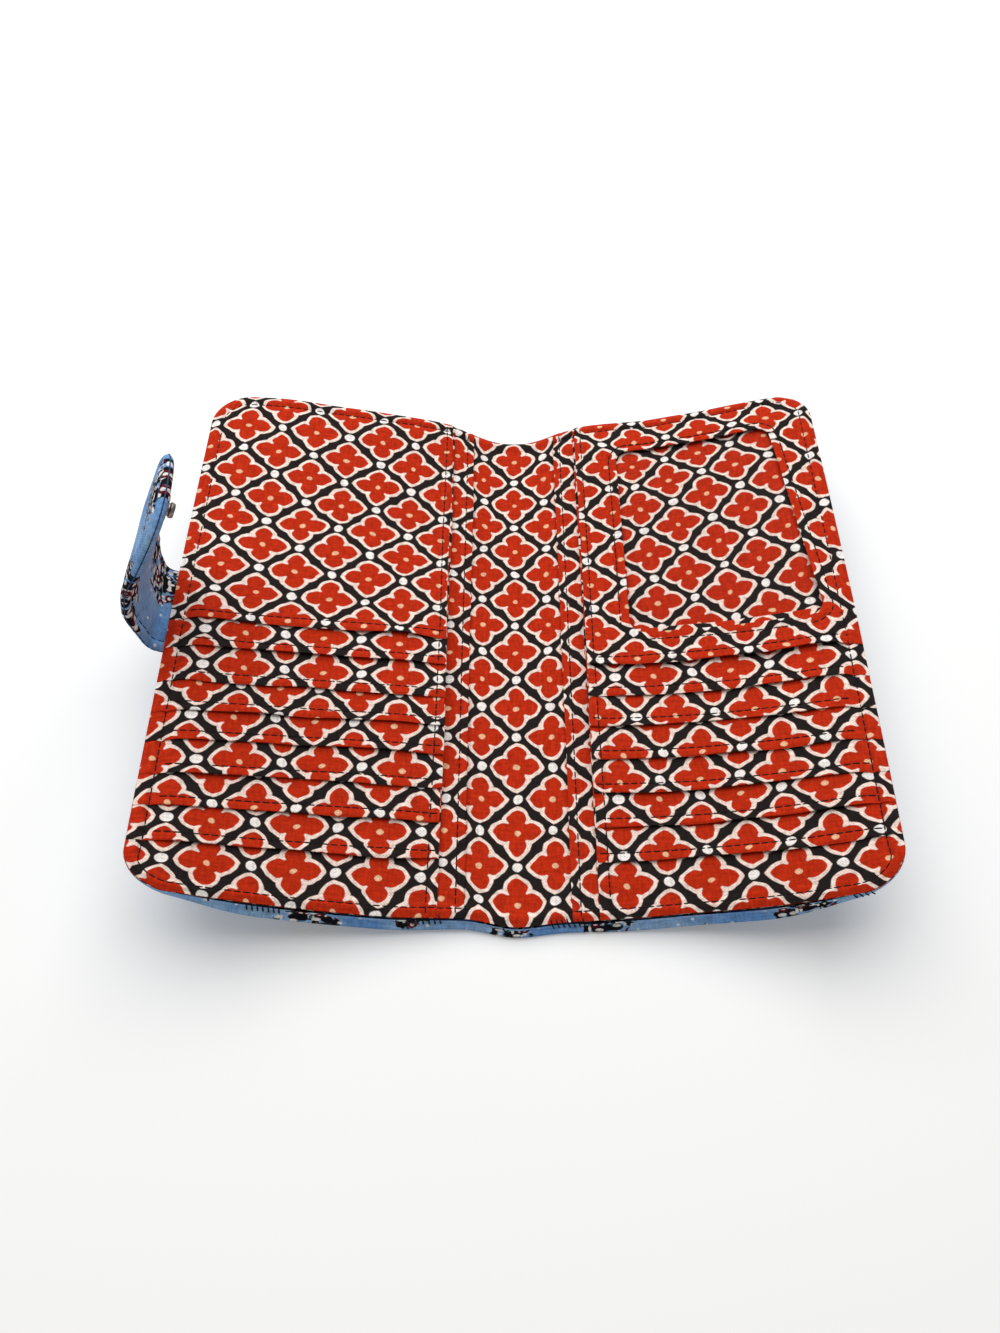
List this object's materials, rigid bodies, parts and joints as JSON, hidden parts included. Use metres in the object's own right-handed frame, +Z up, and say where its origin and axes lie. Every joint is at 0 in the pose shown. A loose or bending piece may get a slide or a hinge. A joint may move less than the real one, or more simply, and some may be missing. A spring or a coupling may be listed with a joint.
{
  "type": "tab wallet",
  "caption": "Long padded cotton wallet, open on its spine, with stepped card pockets, slip pockets, a clear window and a folding snap tab.",
  "frame": {"origin": "centre of the spine's outer face, which lies on the ground", "axes": "+X across the open wallet from the back cover with the tab to the front cover, +Y along the spine away from the card slots' mouths, +Z up"},
  "size_m": [0.2314, 0.1986, 0.0931],
  "materials": {
    "outer_cotton": "matte",
    "lining_cotton": "matte",
    "pocket_cotton": "matte",
    "batting": "matte",
    "clear_vinyl": "gloss",
    "antique_nickel": "satin"
  },
  "bodies": {
    "spine": {"spine_exterior": "outer_cotton", "spine_batting": "batting", "spine_lining": "lining_cotton"},
    "back_cover": {"back_exterior": "outer_cotton", "back_batting": "batting", "back_lining": "lining_cotton", "back_slip_pocket": "pocket_cotton", "back_card_panel": "pocket_cotton", "back_card_pocket_1": "pocket_cotton", "back_card_pocket_2": "pocket_cotton", "back_card_pocket_3": "pocket_cotton", "back_card_pocket_4": "pocket_cotton", "back_card_pocket_5": "pocket_cotton", "back_card_pocket_6": "pocket_cotton", "back_card_pocket_7": "pocket_cotton", "back_large_pocket": "pocket_cotton"},
    "front_cover": {"front_exterior": "outer_cotton", "front_batting": "batting", "front_lining": "lining_cotton", "front_slip_pocket": "pocket_cotton", "front_card_panel": "pocket_cotton", "front_card_pocket_2": "pocket_cotton", "front_card_pocket_3": "pocket_cotton", "front_card_pocket_4": "pocket_cotton", "front_card_pocket_5": "pocket_cotton", "front_card_pocket_6": "pocket_cotton", "front_card_pocket_7": "pocket_cotton", "front_window_frame": "pocket_cotton", "front_window_film": "clear_vinyl", "snap_socket": "antique_nickel", "socket_backing": "antique_nickel"},
    "tab_root": {"tab_root_exterior": "outer_cotton", "tab_root_padding": "batting", "tab_root_lining": "outer_cotton"},
    "tab_end": {"tab_end_exterior": "outer_cotton", "tab_end_padding": "batting", "tab_end_lining": "outer_cotton", "snap_stud": "antique_nickel", "stud_backing": "antique_nickel"}
  },
  "joints": [
    {"name": "back_cover_fold", "type": "hinge", "parent": "spine", "child": "back_cover", "pos_m": [-0.01102, 0, 0.0004], "axis": [0, 1, 0], "range_deg": [-15, 75]},
    {"name": "front_cover_fold", "type": "hinge", "parent": "spine", "child": "front_cover", "pos_m": [0.01102, 0, 0.0004], "axis": [0, -1, 0], "range_deg": [-12.5, 75]},
    {"name": "tab_root_fold", "type": "hinge", "parent": "back_cover", "child": "tab_root", "pos_m": [-0.114, -0.0027, 0.02949], "axis": [0, 1, 0], "range_deg": [-69.5, 20.5]},
    {"name": "tab_end_fold", "type": "hinge", "parent": "tab_root", "child": "tab_end", "pos_m": [-0.11656, -0.0027, 0.05615], "axis": [0, 1, 0], "range_deg": [-33, 57]}
  ]
}
